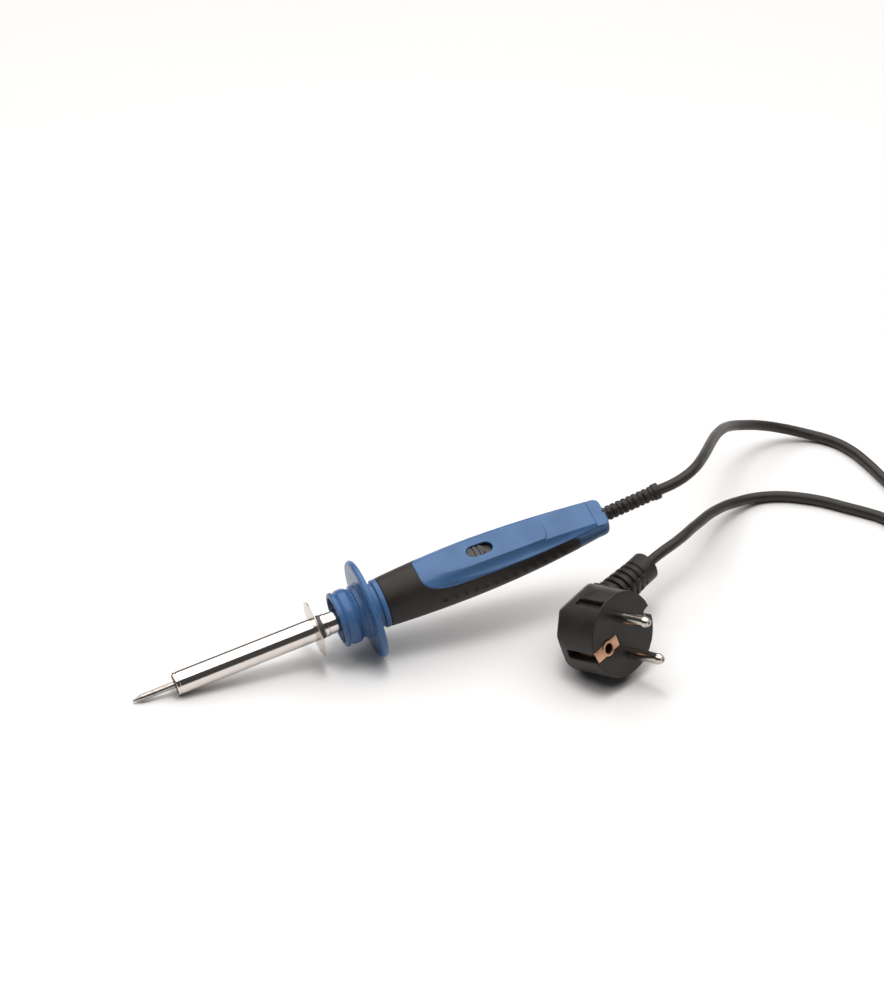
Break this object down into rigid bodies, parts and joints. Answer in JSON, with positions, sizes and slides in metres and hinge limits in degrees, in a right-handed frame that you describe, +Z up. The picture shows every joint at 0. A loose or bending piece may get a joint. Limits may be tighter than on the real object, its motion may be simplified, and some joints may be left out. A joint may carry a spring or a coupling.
{
  "type": "electric hot iron",
  "caption": "Mains-powered hot iron: screw-in tip, plated barrel, heat disc, blue guard collar, soft grip with slide switch, ribbed strain relief and cord with earthed plug.",
  "frame": {"origin": "on the surface the iron lies on, under the middle of the iron's box (tip to strain relief), its cord and plug left out", "axes": "+X from the tip towards the strain relief, +Z up, +Y to the left of someone who looks along +X; the iron leans up towards +X on its guard flange"},
  "size_m": [0.4244, 0.153, 0.0534],
  "materials": {
    "tip_metal": "satin turned steel",
    "brass": "plain",
    "ceramic": "matt fired ceramic",
    "heater_wire": "dull resistance wire",
    "mica": "mica sheet",
    "barrel_metal": "nickel-plated, polished",
    "plate_metal": "plain sheet",
    "dark_metal": "dark satin",
    "blue_plastic": "fine satin grain",
    "soft_grip": "soft matt",
    "screw_metal": "zinc-plated",
    "knob_plastic": "satin",
    "copper": "copper-coloured",
    "case_plastic": "plain",
    "lead_sleeve": "woven glass sleeve",
    "wire_brown": "plain",
    "wire_blue": "plain",
    "wire_green": "green and yellow",
    "cord_rubber": "satin sheath",
    "black_rubber": "satin moulded",
    "bridge_plastic": "plain",
    "pin_metal": "nickel-plated"
  },
  "bodies": {
    "iron": {"tip_socket": "brass", "heater_core": "ceramic", "heater_winding": "heater_wire", "mica_sleeve": "mica", "barrel": "barrel_metal", "heat_disc": "plate_metal", "spacer_ring": "dark_metal", "neck_tube": "barrel_metal", "guard_collar": "blue_plastic", "grip_sleeve": "soft_grip", "upper_shell": "blue_plastic", "lower_shell": "blue_plastic", "shell_screws": "screw_metal", "switch_housing": "case_plastic", "switch_contacts": "brass", "terminal_block": "ceramic", "terminal_screws": "screw_metal", "heater_leads": "lead_sleeve", "live_wires": "wire_brown", "neutral_wire": "wire_blue", "earth_wire": "wire_green", "earth_tag": "brass", "cord_clamp": "plate_metal", "clamp_screws": "screw_metal", "cord_inner": "cord_rubber", "strain_relief": "black_rubber", "cord_lead": "cord_rubber", "cord_coil": "cord_rubber", "cord_tail": "cord_rubber", "plug_body": "black_rubber", "plug_bridge": "bridge_plastic", "plug_pins": "pin_metal", "plug_earth_clips": "copper", "plug_earth_socket": "brass"},
    "tip_body": {"tip": "tip_metal"},
    "switch_slider": {"switch_knob": "knob_plastic", "switch_wiper": "copper"}
  },
  "joints": [
    {"name": "tip_pull", "type": "slide", "parent": "iron", "child": "tip_body", "axis": [-0.982, 0, -0.1887], "range_m": [0, 0.02]},
    {"name": "switch_slide", "type": "slide", "parent": "iron", "child": "switch_slider", "axis": [0.9913, 0.0123, 0.1314], "range_m": [0, 0.0033]}
  ]
}
